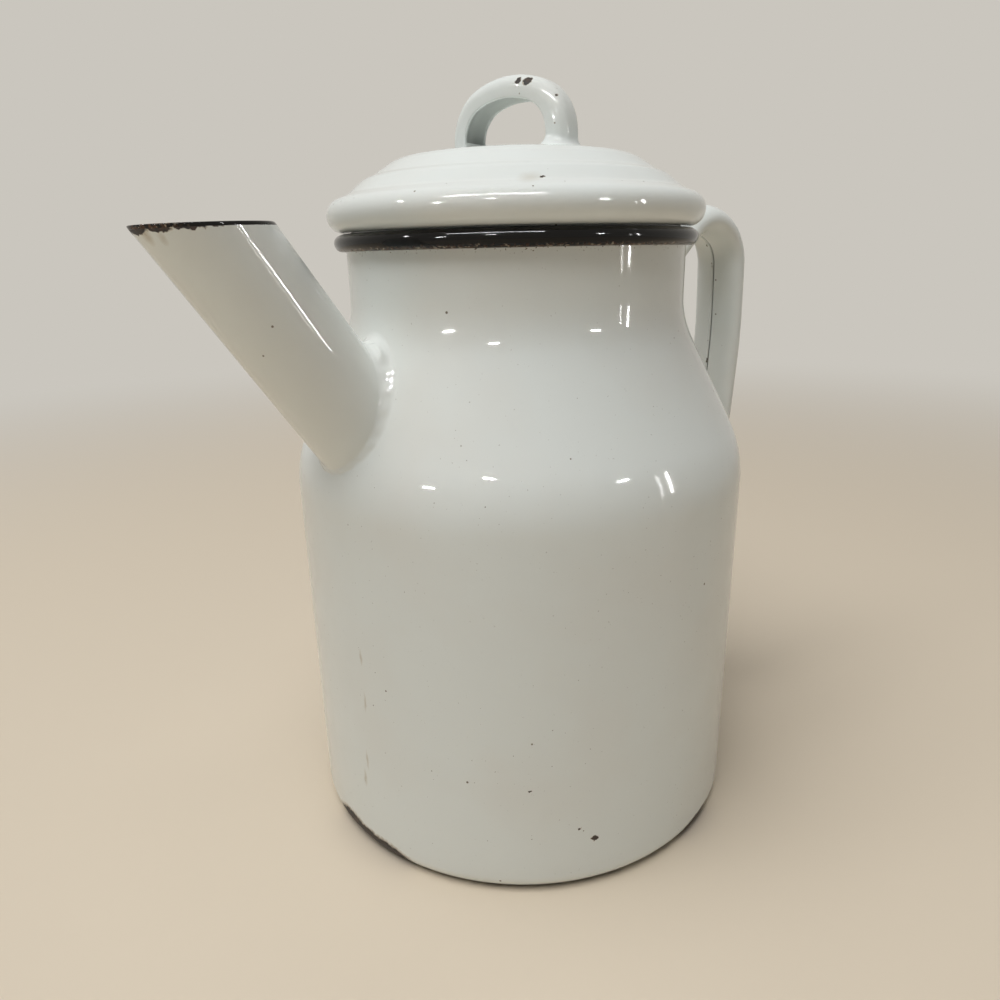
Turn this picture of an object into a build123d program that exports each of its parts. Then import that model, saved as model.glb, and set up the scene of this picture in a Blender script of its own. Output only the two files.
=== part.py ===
# Enamelled sheet-steel coffee pot with a straight spout, a hollow strap handle and a loose lid.
# Millimetres, +Z up. The origin is the centre of the standing ring, on the axis of the pot.
# The spout points along -X and the handle stands out along +X.
from build123d import *
from math import acos, atan2, cos, degrees, hypot, radians, sin, tan
import os

os.makedirs("parts", exist_ok=True)

# Enamelled sheet and working gaps
wall = 1.2  # sheet steel with its coats of enamel, body and spout
thin_wall = 1.0  # the lighter sheet of the lid, the handle and the lid's grip
weld_gap = 0.02  # between a weld's fillet and the sheets that it joins
lid_rest_gap = 0.3  # between the lid's edge and the rim it rests on
lid_side_gap = 0.4  # between the lid's collar and the inside of the rim

# Body, drawn from one blank
body_radius = 63.0
foot_corner_radius = 4.8
foot_ring_width = 6.0
foot_recess = 1.4
foot_recess_slope = 3.0
shoulder_start_z = 96.8
shoulder_radius = 31.6
neck_radius = 45.1
neck_start_z = 145.4
neck_bend_radius = 23.8
neck_height = 14.3

# Rim, the neck's own edge curled outwards
curl_radius = 2.1
curl_turn = 290.0  # degrees from the neck's top, over and back to its side

# Spout, a rolled cone cut nearly level at the mouth
spout_reach = 84.1  # pot axis to the centre line at the mouth
spout_mouth_z = 163.3
spout_mouth_dip = 1.8  # degrees that the mouth drops outwards
spout_slope = 55.6  # degrees above level
spout_mouth_radius = 12.0
spout_root_radius = 12.6  # where the centre line meets the body
spout_lip_height = 1.3
spout_fillet = 4.5

# Strainer pierced through the wall behind the spout
strainer_hole_radius = 1.5
strainer_pitch = 4.7
strainer_rings = 2

# Handle, a strap rolled into a flattened tube
handle_width = 18.0
handle_outer_rise = 5.6  # centre line to the rounded outside
handle_inner_rise = 4.2  # centre line to the flatter inside
handle_seam = 0.6
handle_root_depth = 6.0  # how far the centre line runs on inside the neck and the body
handle_fillet = 2.6

# Corners of the handle's centre line, from the neck over the crest and down to the body
handle_top_z = 147.5  # centre line at the neck
handle_neck_run = 13.0  # out from the neck before it turns up
handle_neck_rise = 3.0
handle_reach = 98.8  # pot axis to the centre line at the grip
handle_crest_z = 168.8
handle_crest_setback = 18.8  # crest and lower bend, in from the grip
handle_shoulder_setback = 1.5
handle_shoulder_drop = 9.8  # below the crest
handle_foot_z = 74.3  # centre line at the body
handle_grip_end = 53.7  # lower end of the straight grip, above the foot
handle_heel_setback = 3.5
handle_heel_rise = 17.7
handle_foot_rise = 2.2
handle_bends = [20, 16, 14.5, 150, 22, 22]  # radius at each corner between neck and body
handle_bend_room = 0.98  # share of a run that its two bends may take up

# Lid, pressed with two rings
lid_crown_height = 20.3  # top of the rim to the middle of the lid
lid_edge_radius = 4.15
lid_overhang = 1.4  # lid's edge past the rim
lid_dome_setback = 14.35  # rolled edge's centre in to the end of the dome
lid_dome_drop = 2.7
collar_depth = 11.5

# Grip on the lid, a channel bent into an arch
loop_turn = 101.6  # degrees from +X, as the loose lid lies
loop_half_span = 13.2
loop_rise = 11.6  # middle of the lid to the underside of the arch
loop_width = 7.8
loop_depth = 5.5
loop_corner_radius = 8.0
loop_corner_turn = 70.0
loop_back_radius = 3.4
loop_edge_radius = 0.6  # along the sheet's two free edges
loop_fillet = 1.8


# Sizes that follow from the ones above
neck_top_z = neck_start_z + neck_height
curl_r = neck_radius - wall + curl_radius
rim_top_z = neck_top_z + curl_radius
bend_centre_r = neck_radius + neck_bend_radius
shoulder_centre_r = body_radius - shoulder_radius
centres_r = bend_centre_r - shoulder_centre_r
centres_z = neck_start_z - shoulder_start_z
shoulder_turn = degrees(
    atan2(centres_z, centres_r)
    - acos((shoulder_radius + neck_bend_radius) / hypot(centres_r, centres_z))
)


# The pot's outline from the middle of its base to the top of its neck, set in by one thickness
def pot_outline(inset):
    foot_r = body_radius - foot_corner_radius
    recess_r = foot_r - foot_ring_width
    foot_arc = foot_corner_radius - inset
    shoulder_arc = shoulder_radius - inset
    bend_arc = neck_bend_radius + inset
    middle = (0, foot_recess + inset)
    recess_edge = (recess_r - foot_recess_slope, foot_recess + inset)
    Polyline(middle, recess_edge, (recess_r, inset), (foot_r, inset))
    CenterArc((foot_r, foot_corner_radius), foot_arc, -90, 90)
    Line((body_radius - inset, foot_corner_radius), (body_radius - inset, shoulder_start_z))
    shoulder = CenterArc((shoulder_centre_r, shoulder_start_z), shoulder_arc, 0, shoulder_turn)
    bend = CenterArc((bend_centre_r, neck_start_z), bend_arc, 180 + shoulder_turn, -shoulder_turn)
    Line(shoulder @ 1, bend @ 0)
    top = Line(bend @ 1, (neck_radius - inset, neck_top_z))
    Polyline(top @ 1, (0, neck_top_z), middle)


# Solid form of the closed body, used to trim what is joined to it
with BuildPart() as pot_form:
    with BuildSketch(Plane.XZ):
        with BuildLine():
            pot_outline(0)
        make_face()
    revolve(axis=Axis.Z)

# The same form with the gap that the welds keep
with BuildPart() as pot_clear:
    with BuildSketch(Plane.XZ):
        with BuildLine():
            pot_outline(-weld_gap)
        make_face()
    revolve(axis=Axis.Z)

# Where the spout's centre line passes through the cone between shoulder and neck
cone_r = shoulder_centre_r + shoulder_radius * cos(radians(shoulder_turn))
cone_z = shoulder_start_z + shoulder_radius * sin(radians(shoulder_turn))
cone_lean = tan(radians(shoulder_turn))
spout_lean = 1 / tan(radians(spout_slope))
strainer_z = (
    cone_r + cone_lean * cone_z - spout_reach + spout_lean * spout_mouth_z
) / (cone_lean + spout_lean)
strainer_r = cone_r - cone_lean * (strainer_z - cone_z)
spout_length = (spout_mouth_z - strainer_z) / sin(radians(spout_slope))
spout_taper = (spout_root_radius - spout_mouth_radius) / spout_length
spout_over = 2 * spout_root_radius  # how far the cone is drawn past its mouth and its root

# Spout: plane at the mouth whose normal runs up the spout
spout_up = (-cos(radians(spout_slope)), 0, sin(radians(spout_slope)))
spout_mouth = Plane(
    origin=(-spout_reach, 0, spout_mouth_z), x_dir=(0, 1, 0), z_dir=spout_up
)
spout_side = Plane(origin=spout_mouth.origin, x_dir=spout_up, z_dir=(0, -1, 0))
mouth_dip = radians(spout_mouth_dip)
mouth_cut = Plane(
    origin=spout_mouth.origin, x_dir=(0, 1, 0), z_dir=(-sin(mouth_dip), 0, cos(mouth_dip))
)


# A cone along the spout, thinner than the outside by one thickness, past both of its ends
def spout_cone(inset):
    low_x = -spout_length - spout_over
    low_r = spout_root_radius + spout_taper * spout_over - inset
    high_r = spout_mouth_radius - spout_taper * spout_over - inset
    Polyline((low_x, 0), (spout_over, 0), (spout_over, high_r), (low_x, low_r), close=True)


with BuildPart() as spout_form:
    with BuildSketch(spout_side):
        with BuildLine():
            spout_cone(0)
        make_face()
    revolve(axis=Axis(spout_mouth.origin, spout_up))
    split(bisect_by=mouth_cut, keep=Keep.BOTTOM)

with BuildPart() as spout_bore:
    with BuildSketch(spout_side):
        with BuildLine():
            spout_cone(wall)
        make_face()
    revolve(axis=Axis(spout_mouth.origin, spout_up))

with BuildPart() as spout_clear:
    with BuildSketch(spout_side):
        with BuildLine():
            spout_cone(-weld_gap)
        make_face()
    revolve(axis=Axis(spout_mouth.origin, spout_up))

# Plane of the strainer, on the sloping wall behind the spout
strainer_plane = Plane(
    origin=(-strainer_r, 0, strainer_z),
    x_dir=(0, 1, 0),
    z_dir=(-cos(radians(shoulder_turn)), 0, sin(radians(shoulder_turn))),
)

# Body shell
with BuildPart() as pot_shell:
    with BuildSketch(Plane.XZ):
        with BuildLine():
            pot_outline(0)
        make_face()
        with BuildLine():
            pot_outline(wall)
        make_face(mode=Mode.SUBTRACT)
    revolve(axis=Axis.Z)
    with BuildSketch(strainer_plane):
        with Locations(*[
            Vector(strainer_pitch * ring, 0).rotate(Axis.Z, 60 * corner)
            + Vector(strainer_pitch * step, 0).rotate(Axis.Z, 60 * corner + 120)
            for ring in range(1, strainer_rings + 1)
            for corner in range(6)
            for step in range(ring)
        ], (0, 0)):
            Circle(strainer_hole_radius)
    extrude(amount=4 * wall, both=True, mode=Mode.SUBTRACT)
pot_shell.part.label = "pot_shell"
export_step(pot_shell.part, "parts/pot_shell.step")

# Black rim, curled outwards and down until it meets the neck
with BuildPart() as rim_curl:
    with BuildSketch(Plane.XZ):
        with BuildLine():
            curl = CenterArc((curl_r, neck_top_z), curl_radius, 180, -curl_turn)
            hollow = CenterArc((curl_r, neck_top_z), curl_radius - wall, 180, -curl_turn)
            Line(curl @ 0, hollow @ 0)
            Line(curl @ 1, hollow @ 1)
        make_face()
    revolve(axis=Axis.Z)
rim_curl.part.label = "rim_curl"
export_step(rim_curl.part, "parts/rim_curl.step")

# Spout tube and the black edge of its mouth
with BuildPart() as spout_tube:
    add(spout_form.part)
    split(bisect_by=mouth_cut.offset(-spout_lip_height), keep=Keep.BOTTOM)
    add(spout_bore.part, mode=Mode.SUBTRACT)
    add(pot_form.part, mode=Mode.SUBTRACT)
spout_tube.part.label = "spout_tube"
export_step(spout_tube.part, "parts/spout_tube.step")

with BuildPart() as spout_lip:
    add(spout_form.part)
    split(bisect_by=mouth_cut.offset(-spout_lip_height), keep=Keep.TOP)
    add(spout_bore.part, mode=Mode.SUBTRACT)
spout_lip.part.label = "spout_lip"
export_step(spout_lip.part, "parts/spout_lip.step")

# Fillet of weld and enamel around the foot of the spout
with BuildPart() as spout_joint:
    add(pot_form.part)
    add(spout_form.part)
    fillet(spout_joint.new_edges, radius=spout_fillet)
    add(pot_clear.part, mode=Mode.SUBTRACT)
    add(spout_clear.part, mode=Mode.SUBTRACT)
spout_joint.part.label = "spout_joint"
export_step(spout_joint.part, "parts/spout_joint.step")

# Handle: its centre line from inside the neck over the crest and down into the body
handle_corners = [
    (neck_radius - handle_root_depth, handle_top_z),
    (neck_radius + handle_neck_run, handle_top_z + handle_neck_rise),
    (handle_reach - handle_crest_setback, handle_crest_z),
    (handle_reach - handle_shoulder_setback, handle_crest_z - handle_shoulder_drop),
    (handle_reach, handle_foot_z + handle_grip_end),
    (handle_reach - handle_heel_setback, handle_foot_z + handle_heel_rise),
    (handle_reach - handle_crest_setback, handle_foot_z + handle_foot_rise),
    (body_radius - handle_root_depth, handle_foot_z),
]


# Bend radii that leave each run between two corners room for both of its bends
def fitted_bends(corners, radii):
    runs = [Vector(*after) - Vector(*before) for before, after in zip(corners, corners[1:])]
    turns = [radians(run.get_angle(following)) for run, following in zip(runs, runs[1:])]
    cuts = [radius * tan(turn / 2) for radius, turn in zip(radii, turns)]
    inner_runs = zip(runs[1:-1], cuts, cuts[1:])
    room = [min(1, handle_bend_room * run.length / (first + last)) for run, first, last in inner_runs]
    return [radius * min(pair) for radius, pair in zip(radii, zip([1, *room], [*room, 1]))]


with BuildLine(Plane.XZ) as handle_path:
    FilletPolyline(*handle_corners, radius=fitted_bends(handle_corners, handle_bends))
handle_start = Plane(
    origin=handle_path.line @ 0, x_dir=(0, 1, 0), z_dir=handle_path.line % 0
)


# Half-round outside and flatter inside of the handle, set in by one thickness
def handle_section(inset):
    half_w = handle_width / 2 - inset
    EllipticalCenterArc((0, 0), half_w, handle_outer_rise - inset, 0, arc_size=180)
    EllipticalCenterArc((0, 0), half_w, handle_inner_rise - inset, 180, arc_size=180)


with BuildPart() as handle_form:
    with BuildSketch(handle_start):
        with BuildLine():
            handle_section(0)
        make_face()
    sweep(path=handle_path.line)

with BuildPart() as handle_clear:
    with BuildSketch(handle_start):
        with BuildLine():
            handle_section(-weld_gap)
        make_face()
    sweep(path=handle_path.line)

with BuildPart() as handle_tube:
    with BuildSketch(handle_start):
        with BuildLine():
            handle_section(0)
        make_face()
        with BuildLine():
            handle_section(thin_wall)
        make_face(mode=Mode.SUBTRACT)
        with Locations((0, -handle_inner_rise)):
            Rectangle(handle_seam, 2 * handle_inner_rise, mode=Mode.SUBTRACT)
    sweep(path=handle_path.line)
    add(pot_form.part, mode=Mode.SUBTRACT)
handle_tube.part.label = "handle_tube"
export_step(handle_tube.part, "parts/handle_tube.step")

# Welds with their enamel where the handle meets the neck and the body
with BuildPart() as handle_welds:
    add(pot_form.part)
    add(handle_form.part)
    fillet(handle_welds.new_edges, radius=handle_fillet)
    add(pot_clear.part, mode=Mode.SUBTRACT)
    add(handle_clear.part, mode=Mode.SUBTRACT)
weld_low, weld_high = handle_welds.solids().sort_by(SortBy.VOLUME)[-2:].sort_by(Axis.Z)
weld_low.label = "handle_foot_joint"
weld_high.label = "handle_top_joint"
export_step(weld_low, "parts/handle_foot_joint.step")
export_step(weld_high, "parts/handle_top_joint.step")

# Lid: everything is measured from its rolled edge, which rests on the rim
lid_edge_r = curl_r + curl_radius + lid_overhang - lid_edge_radius
lid_edge_z = rim_top_z + lid_rest_gap + lid_edge_radius
lid_crown_z = rim_top_z + lid_crown_height
collar_radius = neck_radius - wall - lid_side_gap


# The lid's outside, from its middle over two pressed rings to the edge turned under
def lid_outline():
    edge = CenterArc((lid_edge_r, lid_edge_z), lid_edge_radius, 80, -180)
    dome_end = (lid_edge_r - lid_dome_setback, lid_crown_z - lid_dome_drop)
    TangentArc((0, lid_crown_z), dome_end, tangent=(1, 0))
    FilletPolyline(
        dome_end,
        (lid_edge_r - 12.4, lid_edge_z + 12.8),
        (lid_edge_r - 8.4, lid_edge_z + 9.3),
        (lid_edge_r - 5.7, lid_edge_z + 8.3),
        (lid_edge_r - 1.4, lid_edge_z + 4.45),
        edge @ 0,
        radius=[5, 2.2, 4.5, 2.6],
    )
    Line(edge @ 1, edge @ 1 + (edge % 1) * (lid_edge_radius - thin_wall))


with BuildPart() as lid_form:
    with BuildSketch(Plane.XZ):
        with BuildLine() as lid_side:
            lid_outline()
            lip_end = lid_side.line @ 1
            Polyline(lip_end, (0, lip_end.Y), (0, lid_crown_z))
        make_face()
    revolve(axis=Axis.Z)
lid_clear = lid_form.part.moved(Location((0, 0, weld_gap)))

with BuildPart() as lid_dome:
    with BuildSketch(Plane.XZ):
        with BuildLine():
            lid_outline()
            offset(amount=thin_wall, side=Side.RIGHT)
        make_face()
    revolve(axis=Axis.Z)
    with BuildSketch(Plane.XY.offset(lid_edge_z)):
        Circle(collar_radius)
    extrude(amount=-2 * lid_edge_radius, mode=Mode.SUBTRACT)
lid_dome.part.label = "lid_dome"
export_step(lid_dome.part, "parts/lid_dome.step")

# Collar that drops inside the neck, its top against the underside of the lid
with BuildPart() as lid_collar:
    with BuildSketch(Plane.XY.offset(rim_top_z - collar_depth)):
        Circle(collar_radius)
        Circle(collar_radius - thin_wall, mode=Mode.SUBTRACT)
    extrude(until=Until.NEXT, target=lid_dome.part)
lid_collar.part.label = "lid_collar"
export_step(lid_collar.part, "parts/lid_collar.step")

# Grip: an arch in an upright plane through the lid's middle
loop_plane = Plane(
    origin=(0, 0, 0),
    x_dir=(cos(radians(loop_turn)), sin(radians(loop_turn)), 0),
    z_dir=(sin(radians(loop_turn)), -cos(radians(loop_turn)), 0),
)
loop_top_z = lid_crown_z + loop_rise
corner_in = loop_half_span - loop_corner_radius
top_turn = 180 - 2 * loop_corner_turn
top_radius = loop_corner_radius + corner_in / cos(radians(loop_corner_turn))
spring_z = loop_top_z - top_radius + (top_radius - loop_corner_radius) * sin(
    radians(loop_corner_turn)
)
with BuildLine(loop_plane) as loop_path:
    right = CenterArc((corner_in, spring_z), loop_corner_radius, 0, loop_corner_turn)
    top = CenterArc((0, loop_top_z - top_radius), top_radius, loop_corner_turn, top_turn)
    left = CenterArc(
        (-corner_in, spring_z), loop_corner_radius, 180 - loop_corner_turn, loop_corner_turn
    )
    Line((loop_half_span, lid_crown_z - 2 * thin_wall), (loop_half_span, spring_z))
    Line((-loop_half_span, spring_z), (-loop_half_span, lid_crown_z - 2 * thin_wall))
loop_start = Plane(
    origin=loop_plane.from_local_coords((loop_half_span, lid_crown_z - 2 * thin_wall)),
    x_dir=loop_plane.x_dir,
    z_dir=(0, 0, 1),
)


# Outside of the grip's section: round-backed, its open side towards the inside of the arch
with BuildSketch() as loop_section:
    Rectangle(loop_depth, loop_width, align=(Align.MIN, Align.CENTER))
    fillet(loop_section.vertices().group_by(Axis.X)[0], radius=loop_edge_radius)
    fillet(loop_section.vertices().group_by(Axis.X)[-1], radius=loop_back_radius)

with BuildPart() as loop_form:
    with BuildSketch(loop_start):
        add(loop_section.sketch)
    sweep(path=loop_path.line)

with BuildPart() as loop_clear:
    with BuildSketch(loop_start):
        offset(loop_section.sketch, amount=weld_gap)
    sweep(path=loop_path.line)

with BuildPart() as lid_loop:
    with BuildSketch(loop_start) as channel:
        add(loop_section.sketch)
        Rectangle(
            loop_depth - thin_wall,
            loop_width - 2 * thin_wall,
            align=(Align.MIN, Align.CENTER),
            mode=Mode.SUBTRACT,
        )
        channel_floor = channel.vertices().filter_by_position(
            Axis.X, loop_depth - 1.01 * thin_wall, loop_depth - 0.99 * thin_wall
        )
        fillet(channel_floor, radius=loop_back_radius - thin_wall)
    sweep(path=loop_path.line)
    add(lid_form.part, mode=Mode.SUBTRACT)
lid_loop.part.label = "lid_loop"
export_step(lid_loop.part, "parts/lid_loop.step")

# Welds with their enamel at the two feet of the grip, which are alike
with BuildPart() as loop_welds:
    add(lid_form.part)
    add(loop_form.part)
    fillet(loop_welds.new_edges, radius=loop_fillet)
    add(lid_clear, mode=Mode.SUBTRACT)
    add(loop_clear.part, mode=Mode.SUBTRACT)
with BuildPart() as loop_joints:
    with PolarLocations(radius=0, count=2):
        add(loop_welds.solids().sort_by(Axis.Y)[0])
loop_joints.part.label = "loop_joints"
export_step(loop_joints.part, "parts/loop_joints.step")
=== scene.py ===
import math

import bmesh
import bpy
import numpy as np
from mathutils import Matrix, Vector


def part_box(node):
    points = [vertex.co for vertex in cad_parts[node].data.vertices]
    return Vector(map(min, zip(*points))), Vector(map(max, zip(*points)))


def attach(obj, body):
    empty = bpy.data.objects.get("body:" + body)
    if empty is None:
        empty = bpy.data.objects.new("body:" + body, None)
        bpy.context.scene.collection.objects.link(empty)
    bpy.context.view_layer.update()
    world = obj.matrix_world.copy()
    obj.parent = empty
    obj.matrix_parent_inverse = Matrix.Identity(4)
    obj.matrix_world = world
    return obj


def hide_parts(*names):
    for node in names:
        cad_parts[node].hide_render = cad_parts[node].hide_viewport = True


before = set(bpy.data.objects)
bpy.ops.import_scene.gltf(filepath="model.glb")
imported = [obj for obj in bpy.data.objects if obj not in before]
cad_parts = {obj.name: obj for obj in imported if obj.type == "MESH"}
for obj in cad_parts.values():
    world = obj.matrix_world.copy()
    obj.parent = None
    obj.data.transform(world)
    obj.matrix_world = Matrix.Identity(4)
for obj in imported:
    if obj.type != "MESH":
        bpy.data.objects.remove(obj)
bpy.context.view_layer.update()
mm = 0.001
doubles = 0.004  # points nearer than this are merged
sharpAngle = math.radians(38)  # edges with a larger angle stay sharp
print("frame loaded")


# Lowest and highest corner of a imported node, in millimetres
def boxOf(node):
    low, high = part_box(node)
    return np.array(low) / mm, np.array(high) / mm


# Adds one node with its settings. Inputs, by name or in order, are values, sockets or the nodes that feed
# them. A Mix node has its share at 0, numbers at 2 and 3 and colours at 6 and 7.
def addNode(tree, kind, inputs=(), **settings):
    made = tree.nodes.new(kind)
    for name, value in settings.items():
        setattr(made, name, value)
    for key, value in inputs.items() if isinstance(inputs, dict) else enumerate(inputs):
        if isinstance(value, bpy.types.Node):
            value = value.outputs[0]
        if isinstance(value, bpy.types.NodeSocket):
            tree.links.new(value, made.inputs[key])
        else:
            made.inputs[key].default_value = value
    return made


# Turns an sRGB hex colour into the linear one that the shaders take
def linear(code):
    values = [int(code[i : i + 2], 16) / 255 for i in (1, 3, 5)]
    return (*[v / 12.92 if v <= 0.04045 else ((v + 0.055) / 1.055) ** 2.4 for v in values], 1.0)


# Outlines and paths


# Vectors scaled to length one
def unit(vectors):
    return vectors / np.linalg.norm(vectors, axis=-1, keepdims=True)


# An arc by its centre, radius, start and turn in degrees, cut into short steps
def arcPoints(centre, radius, start, turn, step=3.0):
    count = max(2, math.ceil(abs(turn) / step)) + 1
    angles = np.radians(np.linspace(start, start + turn, count))
    return [(centre[0] + radius * math.cos(a), centre[1] + radius * math.sin(a)) for a in angles]


# Straight runs joined by tangent arcs, cut into short steps
def roundedPath(corners, radii, run=3.0, step=3.0):
    corners = [np.array(c, float) for c in corners]
    points = [corners[0]]

    def runTo(end):
        start = points[-1]
        count = max(1, math.ceil(np.linalg.norm(end - start) / run))
        points.extend(start + (end - start) * k / count for k in range(1, count + 1))

    for before, corner, after, radius in zip(corners, corners[1:], corners[2:], radii):
        comeIn, goOut = unit(corner - before), unit(after - corner)
        side = comeIn[0] * goOut[1] - comeIn[1] * goOut[0]
        turn = math.degrees(math.atan2(side, comeIn @ goOut))
        cut = radius * math.tan(math.radians(abs(turn)) / 2)
        runTo(corner - comeIn * cut)
        hand = math.copysign(1.0, turn)
        centre = points[-1] + radius * hand * np.array((-comeIn[1], comeIn[0]))
        start = math.degrees(math.atan2(*(points[-1] - centre)[::-1]))
        points.extend(np.array(p) for p in arcPoints(centre, radius, start, turn, step)[1:])
    runTo(corners[-1])
    return np.array(points)


# Meshes and pieces


# An object at the origin, in the scene
def newObject(name, mesh):
    made = bpy.data.objects.new(name, mesh)
    bpy.context.scene.collection.objects.link(made)
    return made


# A mesh from points in millimetres
def meshOf(name, points, edges=(), faces=()):
    mesh = bpy.data.meshes.new(name)
    mesh.from_pydata((np.asarray(points, float) * mm).tolist(), list(edges), list(faces))
    mesh.update()
    return mesh


# A chain of points as an object that a node tree reads, closed into a loop or open
def chainOf(name, points, closed=False):
    edges = [(i, i + 1) for i in range(len(points) - 1)]
    if closed:
        edges.append((len(points) - 1, 0))
    return newObject(name, meshOf(name, points, edges))


# Merges doubles and makes every face of a closed form point outwards
def facesOut(mesh, merge=doubles):
    work = bmesh.new()
    work.from_mesh(mesh)
    if merge:
        bmesh.ops.remove_doubles(work, verts=work.verts, dist=merge * mm)
        bmesh.ops.dissolve_degenerate(work, edges=work.edges, dist=merge * mm / 4)
    bmesh.ops.recalc_face_normals(work, faces=work.faces)
    if work.calc_volume(signed=True) < 0:
        bmesh.ops.reverse_faces(work, faces=work.faces)
    work.to_mesh(mesh)
    work.free()
    mesh.polygons.foreach_set("use_smooth", [True] * len(mesh.polygons))
    mesh.set_sharp_from_angle(angle=sharpAngle)


# A piece that closes on itself, given as sections that are closed loops too
def ringPiece(name, rings, merge=doubles):
    sections, steps = rings.shape[:2]
    faces = []
    for i in range(sections):
        near, far = i * steps, (i + 1) % sections * steps
        for j in range(steps):
            k = (j + 1) % steps
            faces.append((near + j, near + k, far + k, far + j))
    made = newObject(name, meshOf(name, rings.reshape(-1, 3), (), faces))
    facesOut(made.data, merge)
    return made


# Finish, body, a material slot's name that is not used, and the imported nodes that a piece stands for
def dress(piece, finish, body, slotName, *nodes):
    piece.data.materials.clear()
    piece.data.materials.append(finish)
    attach(piece, body)
    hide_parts(*nodes)


# Node trees for shapes that are turned, swept or pierced


# A tree that takes a geometry, a finish and named sizes, each a socket type and a value
def newTree(name, sizes):
    tree = bpy.data.node_groups.new(name, "GeometryNodeTree")
    sockets = {"Geometry": ("Geometry", None), **sizes, "Finish": ("Material", None)}
    for label, (kind, value) in sockets.items():
        socket = tree.interface.new_socket(label, in_out="INPUT", socket_type="NodeSocket" + kind)
        if value is not None:
            socket.default_value = value
    tree.interface.new_socket("Geometry", in_out="OUTPUT", socket_type="NodeSocketGeometry")
    return tree, addNode(tree, "NodeGroupInput")


# Every tree ends alike: instances made real, faces smooth, finish set
def endTree(tree, entry, shape):
    real = addNode(tree, "GeometryNodeRealizeInstances", {"Geometry": shape})
    smooth = addNode(tree, "GeometryNodeSetShadeSmooth", {"Geometry": real})
    coat = {"Geometry": smooth, "Material": entry.outputs["Finish"]}
    coated = addNode(tree, "GeometryNodeSetMaterial", coat)
    addNode(tree, "NodeGroupOutput", {"Geometry": coated})
    return tree


# Runs a tree on an object and leaves the plain mesh that it made
def runTree(piece, tree, **values):
    modifier = piece.modifiers.new(tree.name, "NODES")
    modifier.node_group = tree
    for item in tree.interface.items_tree:
        if item.in_out == "INPUT" and item.name in values:
            modifier[item.identifier] = values[item.name]
    bpy.context.view_layer.update()
    ready = piece.evaluated_get(bpy.context.evaluated_depsgraph_get())
    plain = bpy.data.meshes.new_from_object(ready)
    piece.modifiers.clear()
    piece.data = plain
    plain.name = piece.name


# Turns an outline in the XZ plane once round Z, the way a blank is spun and pressed round
def turnedTree():
    tree, entry = newTree("turnedSheet", {"Steps": ("Int", 300)})
    outline, steps = entry.outputs["Geometry"], entry.outputs["Steps"]
    rows = addNode(tree, "GeometryNodeAttributeDomainSize", {"Geometry": outline}).outputs["Point Count"]
    columns = addNode(tree, "FunctionNodeIntegerMath", (steps, 1), operation="ADD")
    grid = addNode(tree, "GeometryNodeMeshGrid", {"Vertices X": rows, "Vertices Y": columns})
    index = addNode(tree, "GeometryNodeInputIndex")
    row = addNode(tree, "FunctionNodeIntegerMath", (index, columns), operation="DIVIDE_FLOOR")
    column = addNode(tree, "FunctionNodeIntegerMath", (index, columns), operation="MODULO")
    place = addNode(tree, "GeometryNodeInputPosition")
    sample = {"Geometry": outline, "Value": place, "Index": row}
    spot = addNode(tree, "GeometryNodeSampleIndex", sample, data_type="FLOAT_VECTOR")
    share = addNode(tree, "ShaderNodeMath", (column, steps), operation="DIVIDE")
    angle = addNode(tree, "ShaderNodeMath", (share, math.tau), operation="MULTIPLY")
    turned = addNode(tree, "ShaderNodeVectorRotate", {"Vector": spot, "Angle": angle}, rotation_type="Z_AXIS")
    placed = {"Geometry": grid.outputs["Mesh"], "Position": turned}
    shaped = addNode(tree, "GeometryNodeSetPosition", placed)
    seam = {"Geometry": shaped, "Distance": doubles * mm}
    return endTree(tree, entry, addNode(tree, "GeometryNodeMergeByDistance", seam))


# Sweeps a closed section along a path, its open side kept to one side, as a strap is bent
def sweptTree():
    tree, entry = newTree("sweptStrap", {"Section": ("Object", None), "Side": ("Vector", (0, 1, 0))})
    path = addNode(tree, "GeometryNodeMeshToCurve", {"Mesh": entry.outputs["Geometry"]})
    upright = {"Curve": path, "Normal": entry.outputs["Side"]}
    held = addNode(tree, "GeometryNodeSetCurveNormal", upright, mode="FREE")
    section = addNode(tree, "GeometryNodeObjectInfo", {"Object": entry.outputs["Section"]})
    outline = addNode(tree, "GeometryNodeMeshToCurve", {"Mesh": section.outputs["Geometry"]})
    strap = {"Curve": held, "Profile Curve": outline, "Fill Caps": True}
    return endTree(tree, entry, addNode(tree, "GeometryNodeCurveToMesh", strap))


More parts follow.
